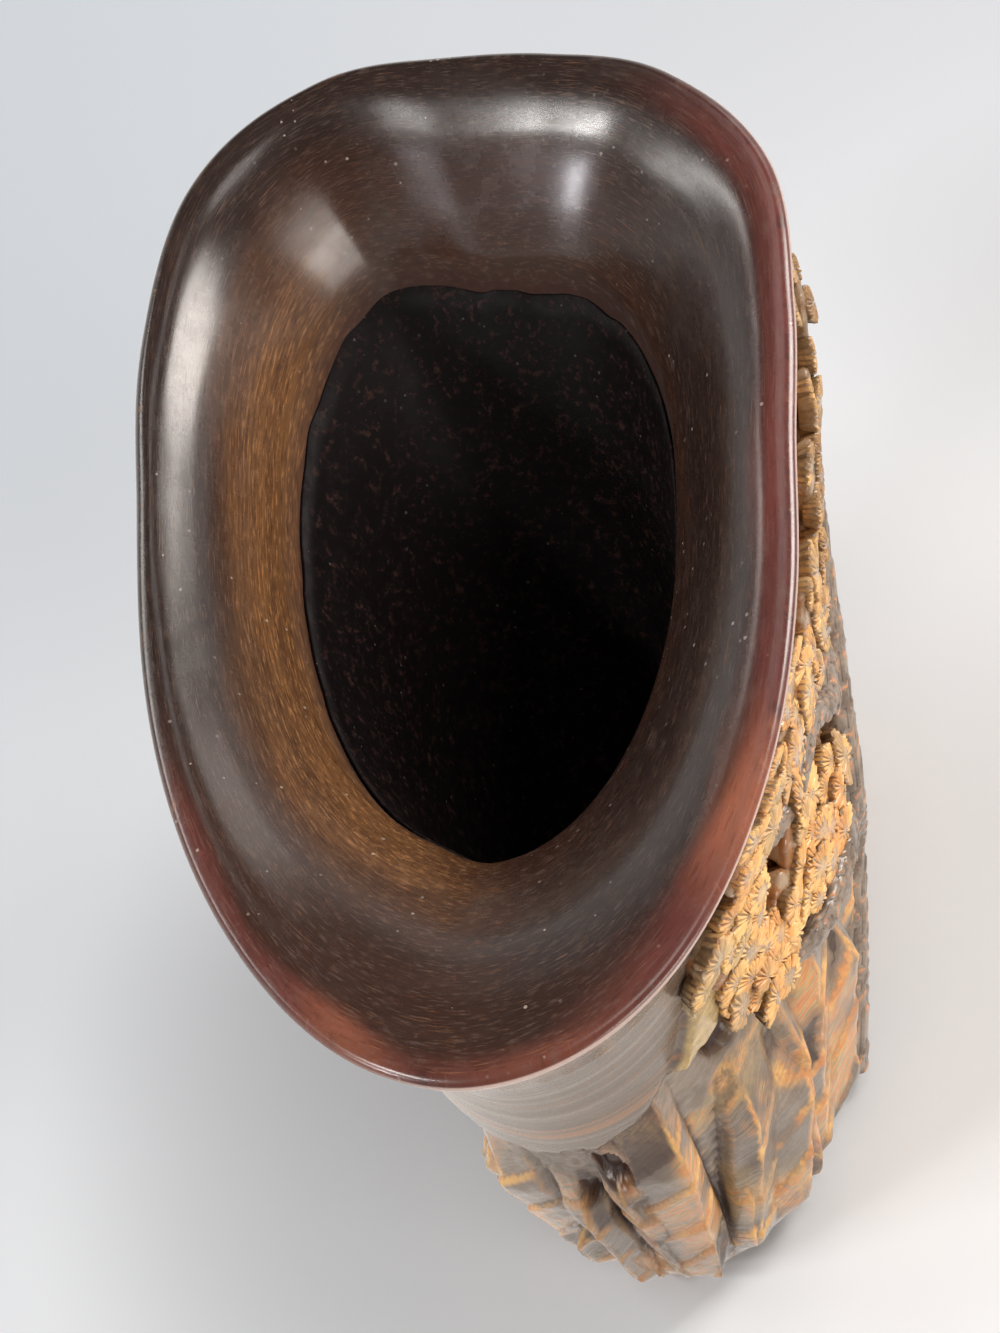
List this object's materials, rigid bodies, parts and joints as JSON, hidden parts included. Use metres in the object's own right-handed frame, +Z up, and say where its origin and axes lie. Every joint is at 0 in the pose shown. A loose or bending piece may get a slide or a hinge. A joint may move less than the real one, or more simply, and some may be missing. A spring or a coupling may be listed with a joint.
{
  "type": "horn libation cup",
  "caption": "Carved horn libation cup with a flared polished mouth, a leaning wall with rocks and pines in high relief, a dark lined hollow and a plugged oval foot.",
  "frame": {"origin": "middle of the foot's flat underside", "axes": "+Z up, +X towards the broad pouring end of the mouth, -Y towards the side with the main pine"},
  "size_m": [0.1407, 0.0854, 0.1034],
  "materials": {
    "polished_horn": "polished dark horn, streaked, amber where it is thin",
    "dark_lining": "near-black coat, satin",
    "plug_horn": "plain dark horn, satin",
    "bark_horn": "carved horn, worn grey-brown on top and amber in the cuts",
    "needle_horn": "carved horn, honey yellow in the grooves"
  },
  "bodies": {
    "root": {"horn_body": "polished_horn", "cavity_lining": "dark_lining", "base_plug": "plug_horn", "pine_trunk_near": "bark_horn", "pine_trunk_far": "bark_horn", "pine_branch_1": "bark_horn", "pine_branch_2": "bark_horn", "pine_branch_3": "bark_horn", "pine_branch_4": "bark_horn", "pine_branch_5": "bark_horn", "needle_cluster_1": "needle_horn", "needle_cluster_2": "needle_horn", "needle_cluster_3": "needle_horn", "needle_cluster_4": "needle_horn", "needle_cluster_5": "needle_horn", "needle_cluster_6": "needle_horn", "needle_cluster_7": "needle_horn", "needle_cluster_8": "needle_horn", "needle_cluster_9": "needle_horn", "needle_cluster_10": "needle_horn", "needle_cluster_11": "needle_horn", "needle_cluster_12": "needle_horn", "needle_cluster_13": "needle_horn", "needle_cluster_14": "needle_horn", "needle_cluster_15": "needle_horn", "needle_cluster_16": "needle_horn", "needle_cluster_17": "needle_horn"}
  },
  "joints": []
}
